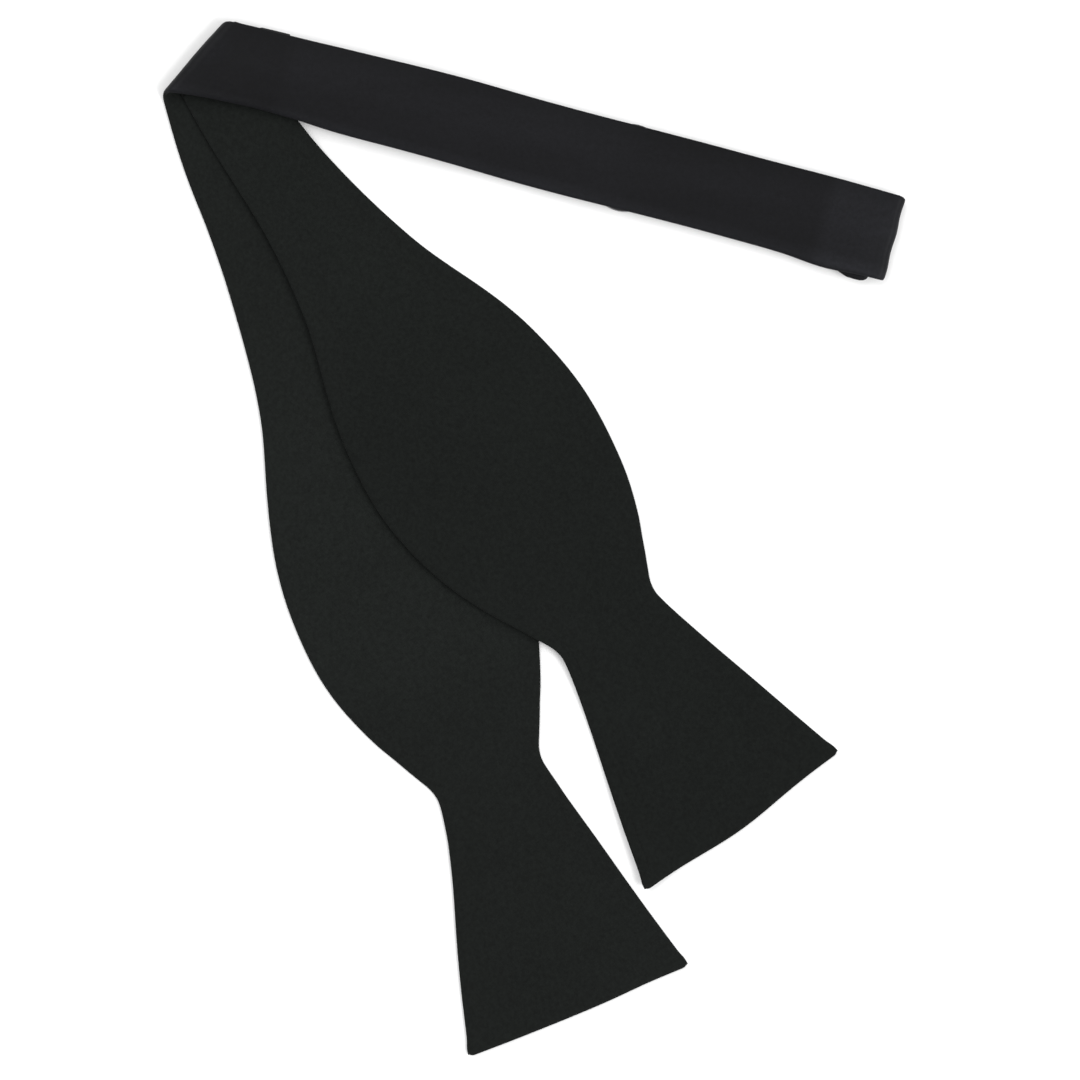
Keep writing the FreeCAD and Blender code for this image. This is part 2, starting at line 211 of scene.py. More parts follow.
def shell(name, outer, inner):
    """A closed sheet from two grids of points, outer and inner, of the same size."""
    rows, cols = outer.shape[:2]
    count = rows * cols
    verts = np.concatenate([outer.reshape(-1, 3), inner.reshape(-1, 3)])
    faces = grid_faces(rows, cols, 0, False) + grid_faces(rows, cols, count, True)
    rim = ([i * cols for i in range(rows)] + [(rows - 1) * cols + j for j in range(1, cols)]
           + [i * cols + cols - 1 for i in range(rows - 2, -1, -1)]
           + [j for j in range(cols - 2, 0, -1)])
    for a, b in zip(rim, rim[1:] + rim[:1]):
        faces.append((a, b, b + count, a + count))
    obj = new_object(name, verts, faces)
    bm = bmesh.new()
    bm.from_mesh(obj.data)
    bmesh.ops.recalc_face_normals(bm, faces=bm.faces)
    bm.to_mesh(obj.data)
    bm.free()
    return obj


def ribbon(name, path, half, ply):
    """A flat strip of woven ribbon along a side-view path of (x, z) points."""
    cols = 17
    path = np.array(path, float)
    tangent = np.gradient(path, axis=0)
    tangent /= np.linalg.norm(tangent, axis=1)[:, None]
    normal = np.stack([-tangent[:, 1], tangent[:, 0]], 1)
    v = np.sin(np.linspace(-1, 1, cols) * math.pi / 2)
    edge = np.sqrt(1 - np.abs(v) ** 24) * 0.94 + 0.06
    sides = []
    for sign in (1, -1):
        lift = sign * 0.5 * ply * edge[None, :]
        xz = path[:, None, :] + lift[..., None] * normal[:, None, :]
        plan = band_plan(xz[..., 0], v[None, :] + 0 * lift, half, BAND_SHIFT)
        sides.append(np.concatenate([plan, xz[..., 1:]], axis=-1))
    return shell(name, sides[0], sides[1])


def arc_path(x, z, radius, start, end, count):
    angles = np.radians(np.linspace(start, end, count))
    return [(x + radius * math.cos(a), z + radius * math.sin(a)) for a in angles]


def run_path(x0, x1, height, step):
    count = max(2, int(abs(x1 - x0) / step) + 1)
    return [(x, float(height(x))) for x in np.linspace(x0, x1, count)]


def level(z):
    return lambda x: z


# ---------------------------------------------------------------- folding a half
class Half:
    """One half of the tie: blade, corner fold and band as one strip of cloth.

    A strip point is held as (t, q): t along the corner fold, q outward across it.
    q below 0 is band, up to pi R it goes round the fold, and beyond that it is blade.
    """

    def __init__(self, radius, low, high):
        self.radius, self.low, self.high = radius, low, high
        self.turn = math.pi * radius

    def from_band(self, plan):
        rel = plan - FOLD_ORIGIN
        return np.stack([rel @ FOLD, rel @ FOLD_OUT], -1)

    def from_blade(self, plan):
        rel = plan - FOLD_ORIGIN
        return np.stack([rel @ FOLD, self.turn - rel @ FOLD_OUT], -1)

    def place(self, tq):
        """Mid-surface points and the unit direction of the back cloth's side."""
        t, q = tq[..., 0], tq[..., 1]
        angle = np.clip(q / self.radius, 0, math.pi)
        middle = 0.5 * (self.low + self.high)
        out = np.where(q < 0, q, np.where(q > self.turn, self.turn - q,
                                          self.radius * np.sin(angle)))
        z = np.where(q < 0, self.high, np.where(q > self.turn, self.low,
                                                middle + self.radius * np.cos(angle)))
        plan = FOLD_ORIGIN + t[..., None] * FOLD + out[..., None] * FOLD_OUT
        lean = np.sin(angle)
        normal = np.concatenate([lean[..., None] * FOLD_OUT, np.cos(angle)[..., None]], -1)
        return np.concatenate([plan, z[..., None]], -1), normal


COLUMNS = np.sin(np.linspace(-1, 1, 61) * math.pi / 2)
BLADE_STEPS = np.concatenate([[0, 0.06, 0.2, 0.4, 0.7, 1.1, 1.6, 2.2, 2.9, 3.7, 4.6, 6, 8],
                              np.arange(10.5, 54, 2.5), np.arange(54, 74, 1.0),
                              np.arange(74, 300, 2.2)])


def strip_rows(half, shape, reach, band_from, pitch):
    """Rows of (t, q) from the flare end to the start of the straight band.

    Near the corner the rows run parallel to the fold, a pitch apart as they turn.
    """
    steps = BLADE_STEPS[BLADE_STEPS < shape.length - reach]
    u, v = np.meshgrid(steps, COLUMNS, indexing="ij")
    blade = half.from_blade(shape.plan(u, v))
    row = np.full(len(COLUMNS), float(band_from))
    start = half.from_band(band_plan(row, COLUMNS, catmull(BAND_HALF, row),
                                     catmull(BAND_LIE, row)))
    along = np.array([BAND @ FOLD, BAND @ FOLD_OUT])
    s = np.linspace(0, 1, 200)[:, None]
    edges = []
    for column in (0, -1):
        a, b = blade[-1, column], start[column]
        lead = a - blade[-2, column]
        lead /= np.linalg.norm(lead)
        gap = np.linalg.norm(b - a)
        edges.append((2 * s**3 - 3 * s**2 + 1) * a + (s**3 - 2 * s**2 + s) * gap * lead
                     + (-2 * s**3 + 3 * s**2) * b + (s**3 - s**2) * gap * along)
    top = blade[-1, :, 1].min() - 0.8
    bottom = start[:, 1].max() + 0.6
    levels = np.concatenate([np.arange(top, half.turn + 1.2, -1.1),
                             np.arange(half.turn + 1.0, -1.0, -pitch),
                             np.linspace(-1.3, bottom, 8)])
    low, high = [np.interp(-levels, -e[:, 1], e[:, 0])[:, None] for e in edges]
    t = low + 0.5 * (COLUMNS + 1) * (high - low)
    folded = np.stack([t, levels[:, None] + 0 * t], -1)
    share = np.linspace(0, 1, 6)[1:-1, None, None]
    spread = folded[-1] * (1 - share) + start * share
    return blade, np.concatenate([folded, spread]), start[None]


def edge_round(d, radius):
    """Share of the full thickness at distance d from a rounded edge."""
    return np.sqrt(np.clip(1 - (1 - np.clip(d / radius, 0, 1)) ** 2, 0, 1))


def seam_ridge(d):
    """The turned-in allowance showing through as a low ridge along the edge."""
    return 0.13 * bump(d, 2.2, 1.3) - 0.05 * bump(d, 4.6, 1.2)


# rear half: blade flat on the table, round the corner, along the band, round the
# right-hand fold, back to the eye, round its bar and back again
BAND_START, BAND_STEP = 14.0, 2.2
rear = Half(radius=2.025, low=0.6, high=4.65)
blade_rows, joint_rows, first = strip_rows(rear, REAR, reach=24, band_from=BAND_START,
                                           pitch=0.3)
n_blade = len(blade_rows)


def band_drop(x):
    """Height of the outer band's middle along its length, over the slide and hook."""
    z = rear.high - 0.95 * smooth(x, 50, 95)
    z = z - 0.75 * bump(x, 78, 13) + 0.18 * bump(x, SLIDE_AT, 6)
    return z + 0.22 * smooth(x, 150, 168)


END_TOP = float(band_drop(END_FOLD_AT))
TAIL_Z = 0.62
END_RADIUS = 0.5 * (END_TOP - TAIL_Z)
LOOP_RADIUS = 1.0
path = run_path(BAND_START + BAND_STEP, END_FOLD_AT, band_drop, BAND_STEP)
straight = len(path)
path += arc_path(END_FOLD_AT, TAIL_Z + END_RADIUS, END_RADIUS, 90, -90, 22)[1:]
path += run_path(END_FOLD_AT, EYE_BACK, level(TAIL_Z), 2.0)[1:]
path += arc_path(EYE_BACK, TAIL_Z + LOOP_RADIUS, LOOP_RADIUS, 270, 90, 16)[1:]
path += [(x, TAIL_Z + 2 * LOOP_RADIUS) for x in
         (173.5, 175, 177, 179, 180.5, 181.5, 182.1, 182.4, 182.5)]
path = np.array(path)
step = np.linalg.norm(np.diff(path, axis=0), axis=1)
travel = np.concatenate([[0], np.cumsum(step)]) + path[0, 0]
tangent = np.gradient(path, axis=0)
tangent /= np.linalg.norm(tangent, axis=1)[:, None]
path_normal = np.stack([-tangent[:, 1], tangent[:, 0]], 1)

taper = smooth(travel, END_FOLD_AT, END_FOLD_AT + 12)
path_half = catmull(BAND_HALF, travel) - 1.5 * taper
turnback = travel[-1] - 10.5
skew = smooth(travel, turnback - 3, turnback + 6)
# the turned-back end lies askew and comes out a little wider
path_shift = catmull(BAND_LIE, travel) - 1.9 * skew
path_half = path_half + 0.9 * skew
# the turned-back end is rounded off
into_end = np.clip((travel - travel[-1] + 2.4) / 2.4, 0, 1)
path_half = path_half * (0.86 + 0.14 * np.sqrt(1 - into_end**2))

joint_tq = np.concatenate([blade_rows, joint_rows, first])
joint_mid, joint_normal = rear.place(joint_tq)
path_plan = band_plan(path[:, None, 0] + 0 * COLUMNS, COLUMNS[None, :],
                      path_half[:, None] + 0 * COLUMNS, path_shift[:, None] + 0 * COLUMNS)
wobble = 0.05 * np.sin(travel / 9.0) * smooth(travel, 20, 40)
path_plan = path_plan + wobble[:, None, None] * BAND_SIDE
# the cut edge of the folded end isn't quite straight
end_wave = 0.2 + 0.14 * np.sin(7 * COLUMNS + 0.6) - 0.25 * smooth(COLUMNS, 0.96, 1.0)
# and its lower side spreads a little over the eye
spread = 0.85 * bump(travel, 170, 8)[:, None] * smooth(-COLUMNS, 0, 1)[None, :]
path_plan = path_plan - spread[..., None] * BAND_SIDE
near_end = smooth(travel, 160, END_FOLD_AT) * (1 - smooth(travel, 186, 200))
path_plan = path_plan + (near_end[:, None] * end_wave[None, :])[..., None] * BAND
path_mid = np.concatenate([path_plan, (path[:, None, 1] + 0 * COLUMNS)[..., None]], -1)
path_dir = np.concatenate([
    (path_normal[:, :1] * BAND[None, :])[:, None, :] + 0 * path_plan,
    (path_normal[:, None, 1:] + 0 * path_plan[..., :1])], -1)

# one flat pattern for edge distances: the path is laid out straight after the corner
path_tq = rear.from_band(band_plan(travel[:, None] + 0 * COLUMNS, COLUMNS[None, :],
                                   path_half[:, None] + 0 * COLUMNS,
                                   path_shift[:, None] + 0 * COLUMNS))
pattern = np.concatenate([joint_tq, path_tq])
outline = np.concatenate([pattern[::-1, 0], pattern[0], pattern[:, -1], pattern[-1, ::-1]])
distance = outline_distance(pattern, outline)
mid = np.concatenate([joint_mid, path_mid])
normal = np.concatenate([joint_normal, path_dir])

# thickness from the middle of the cloth to its surface, less along the band and tail
rows_travel = np.concatenate([np.full(len(joint_tq), -50.0), travel])
thick = FACE_HALF - 0.08 * smooth(rows_travel, 20, 60)
thick = thick - 0.17 * smooth(rows_travel, END_FOLD_AT - 4, END_FOLD_AT + 8)
thick = thick[:, None]
is_blade = np.zeros(len(pattern))
is_blade[:n_blade] = 1 - smooth(np.arange(n_blade), n_blade - 25, n_blade - 1)
is_blade = is_blade[:, None]
is_band = smooth(-pattern[..., 1], 0, 18)

round_edge = edge_round(distance, EDGE_RADIUS)
swell = seam_ridge(distance) * is_blade
puff = 0.16 * smooth(distance, 0, 14) * is_blade
surface = waves(mid[..., 0], mid[..., 1], 11, 80) * 0.12 * is_blade
surface = surface + waves(mid[..., 0], mid[..., 1], 12, 30) * 0.02 * is_blade
flat_end = (1 - smooth(rows_travel, 178, 188))[:, None]
crown = 0.42 * (1 - COLUMNS[None, :] ** 2) * is_band * flat_end
# the cloth stands off a little more at the middle of the diagonal fold
fold_full = 0.3 * bump(pattern[..., 1], 2.4, 4.0) * bump(pattern[..., 0], 2.0, 9.0)
ripple = waves(mid[..., 0], mid[..., 1], 13, 60) * 0.06 * is_band

face_h = round_edge * (thick + swell + puff + surface * smooth(distance, 0, 6))
back_h = round_edge * (thick + crown + fold_full + ripple * smooth(distance, 0, 6))


def under(height):
    """Inner surface of a cloth whose outer surface is at this height."""
    return np.maximum(height - PLY, 0.0) * 0.999


def offset(amount):
    return mid + amount[..., None] * normal


rear_back = shell("rear_half_back_cloth", offset(back_h), offset(under(back_h)))
rear_face = shell("rear_half_face_cloth", offset(-face_h), offset(-under(face_h)))


# ---------------------------------------------------------------- front half
front = Half(radius=0.65, low=1.95, high=3.25)
f_blade, f_joint, f_first = strip_rows(front, FRONT, reach=22, band_from=10.0, pitch=0.12)
# its end lies a little askew, and so shows beyond the band's upper edge
TUCKED_END_LIE = 0.42
f_tail_x = np.array([11.4, 12.8, 14.2, 15.6, 17.0, 17.9, 18.4, 18.7, 18.9, 19.0])[:, None]
f_tail = front.from_band(band_plan(f_tail_x + 0 * COLUMNS, COLUMNS[None, :],
                                   catmull(BAND_HALF, f_tail_x) + 0 * COLUMNS,
                                   catmull(BAND_LIE, f_tail_x) + TUCKED_END_LIE
                                   + 0 * COLUMNS))
f_tq = np.concatenate([f_blade, f_joint, f_first, f_tail])
f_outline = np.concatenate([f_tq[::-1, 0], f_tq[0], f_tq[:, -1], f_tq[-1, ::-1]])
f_distance = outline_distance(f_tq, f_outline)
f_mid, f_normal = front.place(f_tq)
n_front = len(f_blade)
f_is_blade = np.zeros(len(f_tq))
f_is_blade[:n_front] = 1 - smooth(np.arange(n_front), n_front - 25, n_front - 1)
f_is_blade = f_is_blade[:, None]

# the front blade lies on the rear one and sinks to the table beyond its edge
edge_steps = BLADE_STEPS[BLADE_STEPS < 262]
rear_edge = np.concatenate([REAR.plan(edge_steps, np.full(len(edge_steps), s))[::int(s)]
                            for s in (1.0, -1.0)])


def inside(points, polygon):
    flat = points.reshape(-1, 2)
    result = np.zeros(len(flat), bool)
    for (x0, y0), (x1, y1) in zip(polygon, np.roll(polygon, -1, 0)):
        if y0 == y1:
            continue
        crossing = (flat[:, 1] > y0) != (flat[:, 1] > y1)
        at = x0 + (flat[:, 1] - y0) * (x1 - x0) / (y1 - y0)
        result ^= crossing & (flat[:, 0] < at)
    return result.reshape(points.shape[:-1])


plan = f_mid[..., :2]
away = np.where(inside(plan, rear_edge), 0.0,
                outline_distance(plan, np.vstack([rear_edge, rear_edge[:1]])))
clear = smooth(away, 1.0, 15.0) * smooth(-f_normal[..., 2], 0.9, 1.0)
from_corner = np.linalg.norm(plan - CORNER, axis=-1)
clear = clear * smooth(from_corner, 18, 60)
STEP_DOWN = 1.33
f_mid[..., 2] -= STEP_DOWN * clear

# its left edge curls up slightly off the rear blade, most beside the lower bulge
q = f_tq[..., 1]
over_rear = (1 - clear) * smooth(from_corner, 12, 40) * smooth(-COLUMNS, 0.2, 1.0)[None, :]
over_rear = over_rear * smooth(q, front.turn, front.turn + 6)
curl = 0.8 + 0.7 * bump(from_corner, 160, 38)
f_mid[..., 2] += curl * bump(f_distance, 0, 5) * over_rear
f_round = edge_round(f_distance, EDGE_RADIUS + 0.8 * over_rear)
# the cloth is squeezed where it turns through the tight inner fold
from_fold = np.abs(q - 0.5 * front.turn)
squeeze = 1 - 0.34 * (1 - smooth(from_fold, 6, 14)) - 0.26 * bump(from_fold, 0, 2)
f_swell = seam_ridge(f_distance) * f_is_blade
f_puff = 0.18 * smooth(f_distance, 0, 14) * f_is_blade
f_surface = (waves(plan[..., 0], plan[..., 1], 21, 80) * 0.12
             + waves(plan[..., 0], plan[..., 1], 22, 30) * 0.02) * f_is_blade
f_face_h = f_round * (FACE_HALF + f_swell + f_puff
                      + f_surface * smooth(f_distance, 0, 6)) * squeeze
f_back_h = f_round * BACK_HALF * squeeze
# rows up to the split are blade; past it they go round the corner to the band
split = int(np.argmax(q.max(axis=1) < front.turn + 2.2))
BLADE_PART, CORNER_PART = slice(0, split + 1), slice(split, len(f_tq))


def front_piece(name, height, sign, part):
    """One cloth of the front half, on the back (sign 1) or face (sign -1) side."""
    outer, inner = [f_mid[part] + sign * h[part, :, None] * f_normal[part]
                    for h in (height, under(height))]
    return shell(name, outer, inner)


front_back = front_piece("front_blade_back_cloth", f_back_h, 1, BLADE_PART)
front_face = front_piece("front_blade_face_cloth", f_face_h, -1, BLADE_PART)
corner_back = front_piece("front_corner_back_cloth", f_back_h, 1, CORNER_PART)
corner_face = front_piece("front_corner_face_cloth", f_face_h, -1, CORNER_PART)


# ---------------------------------------------------------------- inner pieces
def inner_sheet(name, mids, normals, margin, rows):
    """A soft inner ply following the strip, kept clear of the edges."""
    mids, normals = mids[rows], normals[rows]
    half_widths = np.linalg.norm(mids[:, -1] - mids[:, 0], axis=-1) * 0.5
    wanted = np.linspace(-1, 1, 19)
    points, ups = [], []
    for line, up, half in zip(mids, normals, half_widths):
        v = wanted * (1 - margin / half)
        points.append(np.stack([np.interp(v, COLUMNS, line[:, i]) for i in range(3)], 1))
        ups.append(np.stack([np.interp(v, COLUMNS, up[:, i]) for i in range(3)], 1))
    points, ups = np.array(points), np.array(ups)
    return shell(name, points + LINING_HALF * ups, points - LINING_HALF * ups)


rear_lining = inner_sheet("rear_blade_wool_interlining", mid, normal, SEAM_MARGIN,
                          np.arange(8, n_blade, 2))
band_lining = inner_sheet("neckband_wool_interlining", mid, normal, 1.4,
                          np.arange(len(joint_tq) + 1, len(joint_tq) + straight - 1, 2))
front_lining = inner_sheet("front_blade_wool_interlining", f_mid, f_normal, SEAM_MARGIN,
                           np.arange(8, n_front, 2))


def turned_edge(name, mids, normals, rows):
    """The seam allowance turned in along both sides and the flare end."""
    edge, up = [np.concatenate([grid[rows][::-1, 0], grid[rows[0]][2:-2:4],
                                grid[rows][:, -1]]) for grid in (mids, normals)]
    along = np.gradient(edge[:, :2], axis=0)
    along /= np.maximum(np.linalg.norm(along, axis=1), 1e-9)[:, None]
    inward = np.stack([-along[:, 1], along[:, 0]], 1)
    centre = mids[rows].reshape(-1, 3)[:, :2].mean(0)
    if (inward[0] @ (centre - edge[0, :2])) < 0:
        inward = -inward
    inward = np.concatenate([inward, np.zeros((len(edge), 1))], 1)
    columns = [edge + inward * w for w in (0.5, 1.3, 2.1, 2.9)]
    grid = np.stack(columns, 1)
    lift = np.array([0.05, 0.2, 0.22, 0.12])[None, :, None] * up[:, None, :]
    return shell(name, grid + lift, grid - lift)


rear_seam = turned_edge("rear_blade_turned_seam", mid, normal, np.arange(4, n_blade, 2))
front_seam = turned_edge("front_blade_turned_seam", f_mid, f_normal, np.arange(4, n_front, 2))

# ---------------------------------------------------------------- strap
STRAP_START, STRAP_HALF, STRAP_PLY = 15.0, 9.5, 0.66
RUN_Z, RETURN_Z = 1.1, 2.85
HOOK_LOOP_RADIUS = 0.5 * (RETURN_Z - RUN_Z)
# the ribbon is divided where its loop round the hook begins, and where it starts to move with
# the slide
HOOK_PART, SLIDE_PART = 147.0, SLIDE_AT + 2.5


def strap_height(x):
    return front.high - (front.high - RUN_Z) * smooth(x, 49, 89)


strap = ribbon("adjuster_ribbon", run_path(STRAP_START, HOOK_PART, strap_height, 1.5),
               STRAP_HALF, STRAP_PLY)
loop_path = (run_path(HOOK_PART, HOOK_AT, level(RUN_Z), 0.8)
             + arc_path(HOOK_AT, RUN_Z + HOOK_LOOP_RADIUS, HOOK_LOOP_RADIUS, -90, 90,
                        20)[1:-1]
             + run_path(HOOK_AT, HOOK_PART, level(RETURN_Z), 0.8))
strap_loop = ribbon("hook_ribbon_loop", loop_path, STRAP_HALF, 0.56)
return_path = run_path(HOOK_PART, SLIDE_PART, level(RETURN_Z), 0.8)
strap_return = ribbon("return_ribbon", return_path, STRAP_HALF, 0.46)
wrap_path = (run_path(SLIDE_PART, SLIDE_AT, level(RETURN_Z), 0.5)
             + arc_path(SLIDE_AT - 0.55, 2.325, 0.525, 90, 270, 14)
             + run_path(SLIDE_AT, SLIDE_AT + 8.0, level(1.8), 0.8))
strap_wrap = ribbon("slide_ribbon_wrap", wrap_path, STRAP_HALF, 0.44)

label_path = run_path(LABEL_AT, LABEL_END,
                      lambda x: 1.62 + 0.1 * math.sin((x - LABEL_AT) * 0.9), 0.4)
label = ribbon("blank_size_label", label_path, 6.5, 0.22)


# ---------------------------------------------------------------- thread
def thread_mesh(name, points, radius, closed=False):
    """A round thread or wire through the points, as a closed mesh."""
    curve = bpy.data.curves.new(name + "_curve", "CURVE")
    curve.dimensions = "3D"
    curve.bevel_depth = radius * MM
    curve.bevel_resolution = 2
    spline = curve.splines.new("POLY" if closed else "NURBS")
    spline.points.add(len(points) - 1)
    for point, place in zip(spline.points, points):
        point.co = (*(np.asarray(place) * MM), 1)
    if closed:
        spline.use_cyclic_u = True
    else:
        spline.order_u = 3
        spline.use_endpoint_u = True
        curve.use_fill_caps = True
    holder = bpy.data.objects.new(name + "_holder", curve)
    bpy.context.scene.collection.objects.link(holder)
    depsgraph = bpy.context.evaluated_depsgraph_get()
    mesh = bpy.data.meshes.new_from_object(holder.evaluated_get(depsgraph))
    bpy.data.objects.remove(holder)
    mesh.name = name
    mesh.polygons.foreach_set("use_smooth", [True] * len(mesh.polygons))
    obj = bpy.data.objects.new(name, mesh)
    bpy.context.scene.collection.objects.link(obj)
    return obj


def at(x, y, z):
    """A point x along the band and y across it from its middle."""
    return (*band_plan(np.array(float(x)), np.array(float(y)), np.array(1.0),
                       np.array(BAND_SHIFT)), z)


STITCH_PITCH = 0.45


def zigzag(x, width, reach, z, lift=0.0):
    """Bar-tack stitches across the strap."""
    points = []
    for i, y in enumerate(np.arange(-width, width, STITCH_PITCH)):
        turn = 1 if i % 2 else -1
        points.append(at(x + turn * reach, y, z + turn * lift))
    return points


join_tack = thread_mesh("strap_join_stitching", zigzag(18.2, 8.8, 0.5, 3.86), 0.07)
slide_tack = thread_mesh("slide_bar_stitching", zigzag(SLIDE_AT + 5.6, 7.2, 0.45, 2.32,
                                                       lift=0.22), 0.07)
tail_tack = thread_mesh("tail_bar_stitching", zigzag(176.8, 7.6, 0.6, 1.62, lift=0.5), 0.08)


# ---------------------------------------------------------------- hardware
def softened(name, node, width):
    """A stamped metal piece: the CAD piece's shape with its edges rounded."""
    mesh = frame["nodes"][node].data.copy()
    mesh.name = name
    bm = bmesh.new()
    bm.from_mesh(mesh)
    bmesh.ops.remove_doubles(bm, verts=bm.verts, dist=1e-7)
    bmesh.ops.dissolve_limit(bm, angle_limit=math.radians(4), verts=bm.verts, edges=bm.edges)
    sharp = [e for e in bm.edges if len(e.link_faces) == 2
             and e.calc_face_angle(0) > math.radians(35)]
    bmesh.ops.bevel(bm, geom=sharp, offset=width * MM, segments=3, profile=0.6,
                    affect="EDGES", clamp_overlap=True)
    bmesh.ops.triangulate(bm, faces=[f for f in bm.faces if len(f.verts) > 4])
    bmesh.ops.recalc_face_normals(bm, faces=bm.faces)
    bm.to_mesh(mesh)
    bm.free()
    mesh.materials.clear()
    obj = bpy.data.objects.new(name, mesh)
    bpy.context.scene.collection.objects.link(obj)
    return obj


slide_metal = softened("three_bar_slide", "adjuster_slide", 0.16)
hook_metal = softened("flat_hook", "hook", 0.15)
BEND, HALF_EYE, EYE_LEVEL, EYE_WIRE = 1.4, 10.8, 1.6, 0.44
ring_points = []
for cx, cy, start in ((EYE_BACK - BEND, HALF_EYE - BEND, 0),
                      (EYE_AT + BEND, HALF_EYE - BEND, 90),
                      (EYE_AT + BEND, BEND - HALF_EYE, 180),
                      (EYE_BACK - BEND, BEND - HALF_EYE, 270)):
    for a in np.radians(np.linspace(start, start + 90, 9)):
        ring_points.append(at(cx + BEND * math.cos(a), cy + BEND * math.sin(a), EYE_LEVEL))
eye_metal = thread_mesh("wire_eye", ring_points, EYE_WIRE, closed=True)


# ---------------------------------------------------------------- materials
class Nodes:
    def __init__(self, name):
        self.material = bpy.data.materials.new(name)
        self.material.use_nodes = True
        self.tree = self.material.node_tree
        self.shader = self.tree.nodes["Principled BSDF"]

    def add(self, kind, **values):
        node = self.tree.nodes.new(kind)
        for key, value in values.items():
            if key in node.inputs:
                node.inputs[key].default_value = value
            else:
                setattr(node, key, value)
        return node

    def link(self, source, target):
        self.tree.links.new(source, target)

    def set(self, **values):
        for key, value in values.items():
            self.shader.inputs[key.replace("_", " ")].default_value = value


def coordinates(n, angle, scale):
    """Object coordinates turned to lie along the cloth, in weave units."""
    place = n.add("ShaderNodeTexCoord")
    turn = n.add("ShaderNodeMapping")
    turn.inputs["Rotation"].default_value = (0, 0, math.radians(-angle))
    turn.inputs["Scale"].default_value = scale
    n.link(place.outputs["Object"], turn.inputs["Vector"])
    return turn.outputs["Vector"]


def ramp(n, source, low, high, a=0.3, b=0.7):
    node = n.add("ShaderNodeValToRGB")
    node.color_ramp.elements[0].position = a
    node.color_ramp.elements[1].position = b
    node.color_ramp.elements[0].color = (*low, 1)
    node.color_ramp.elements[1].color = (*high, 1)
    n.link(source, node.inputs["Fac"])
    return node.outputs["Color"]


def paint_light_and_shade_along(n, factor, degrees, start, stops):
    """Multiply a tone by painted light and shade that changes with distance (mm) along a plan
    direction.
    """
    parts = n.add("ShaderNodeSeparateXYZ")
    n.link(coordinates(n, degrees, (1.0 / MM,) * 3), parts.inputs[0])
    length = stops[-1][0] - stops[0][0]
    place = n.add("ShaderNodeMapRange")
    place.inputs["From Min"].default_value = start + stops[0][0]
    place.inputs["From Max"].default_value = start + stops[-1][0]
    n.link(parts.outputs["X"], place.inputs["Value"])
    node = n.add("ShaderNodeValToRGB")
    node.color_ramp.interpolation = "EASE"
    elements = node.color_ramp.elements
    while len(elements) < len(stops):
        elements.new(0.5)
    for element, (x, tone) in zip(elements, stops):
        element.position = (x - stops[0][0]) / length
        element.color = (0.5 * tone, 0.5 * tone, 0.5 * tone, 1)
    n.link(place.outputs["Result"], node.inputs["Fac"])
    doubled = n.add("ShaderNodeMath", operation="MULTIPLY")
    doubled.inputs[1].default_value = 2.0
    n.link(node.outputs["Color"], doubled.inputs[0])
    product = n.add("ShaderNodeMath", operation="MULTIPLY")
    n.link(factor, product.inputs[0])
    n.link(doubled.outputs[0], product.inputs[1])
    return product.outputs[0]


